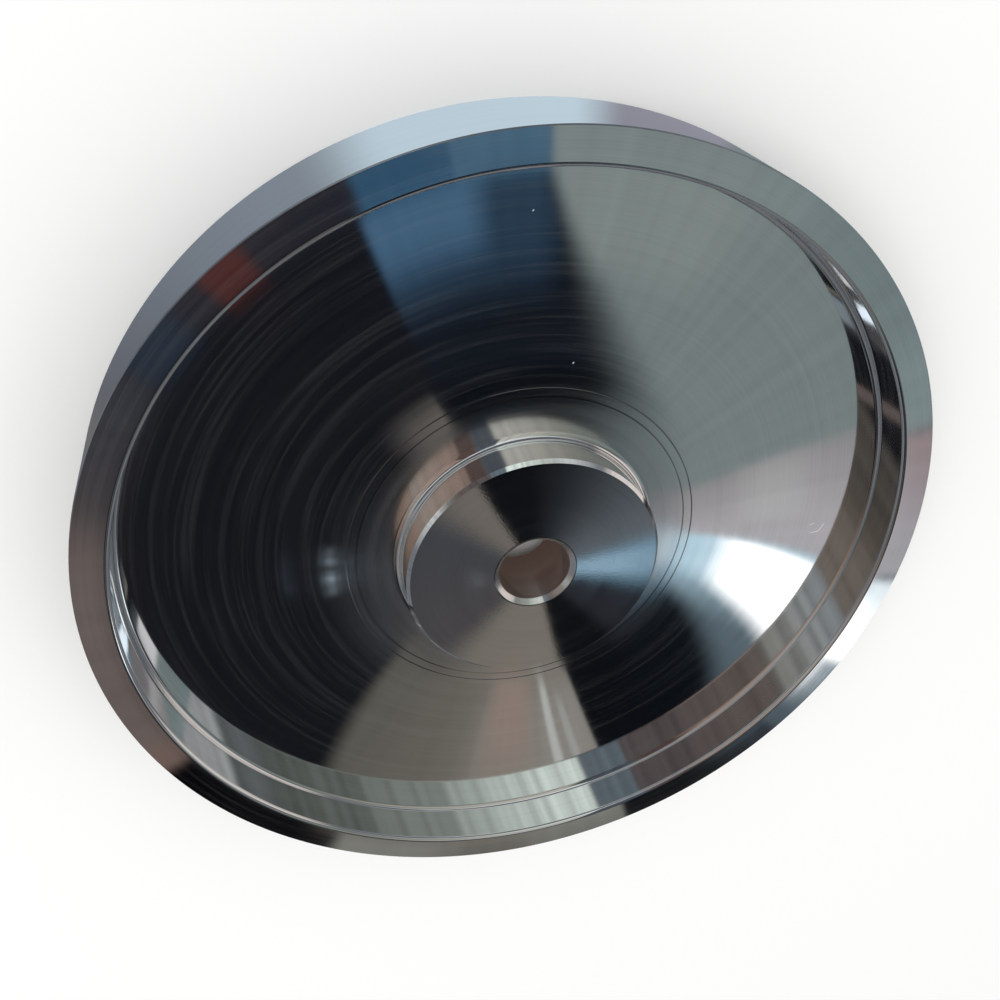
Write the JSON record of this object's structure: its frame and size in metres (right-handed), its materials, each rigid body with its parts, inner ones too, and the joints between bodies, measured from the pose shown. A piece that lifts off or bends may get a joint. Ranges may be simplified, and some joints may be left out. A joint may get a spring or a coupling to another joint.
{
  "type": "banding wheel",
  "caption": "Turned steel banding wheel shown hub side up: flat rim, recessed web, raised central hub and a ball bearing round an open spindle bore.",
  "frame": {"origin": "on the spin axis, on the flat working face (the side away from the hub)", "axes": "+Z along the spin axis, out of the recessed side towards the hub's face; X and Y lie in the working face and are otherwise free, because the wheel is round"},
  "size_m": [0.2, 0.2, 0.0225],
  "materials": {
    "turned_steel": "finely turned and polished, concentric",
    "sleeve_steel": "turned and reamed",
    "bearing_steel": "ground",
    "cage_brass": "satin",
    "spring_steel": "oiled black"
  },
  "bodies": {
    "sleeve": {"spindle_sleeve": "sleeve_steel", "bearing_inner_ring": "bearing_steel", "sleeve_circlip": "spring_steel"},
    "wheel": {"rim_ring": "turned_steel", "web_disc": "turned_steel", "hub": "turned_steel", "bearing_outer_ring": "bearing_steel", "bearing_shield_lower": "bearing_steel", "bearing_shield_upper": "bearing_steel", "bore_circlip": "spring_steel"},
    "ball_cage": {"bearing_cage": "cage_brass", "bearing_ball_01": "bearing_steel", "bearing_ball_02": "bearing_steel", "bearing_ball_03": "bearing_steel", "bearing_ball_04": "bearing_steel", "bearing_ball_05": "bearing_steel", "bearing_ball_06": "bearing_steel", "bearing_ball_07": "bearing_steel", "bearing_ball_08": "bearing_steel", "bearing_ball_09": "bearing_steel", "bearing_ball_10": "bearing_steel"}
  },
  "joints": [
    {"name": "wheel_spin", "type": "hinge", "parent": "sleeve", "child": "wheel", "pos_m": [0, 0, 0.0118], "axis": [0, 0, 1], "continuous": true},
    {"name": "cage_orbit", "type": "hinge", "parent": "sleeve", "child": "ball_cage", "pos_m": [0, 0, 0.0118], "axis": [0, 0, 1], "continuous": true}
  ],
  "couplings": [
    {"joint": "cage_orbit", "follows": "wheel_spin", "ratio": 0.58772}
  ]
}
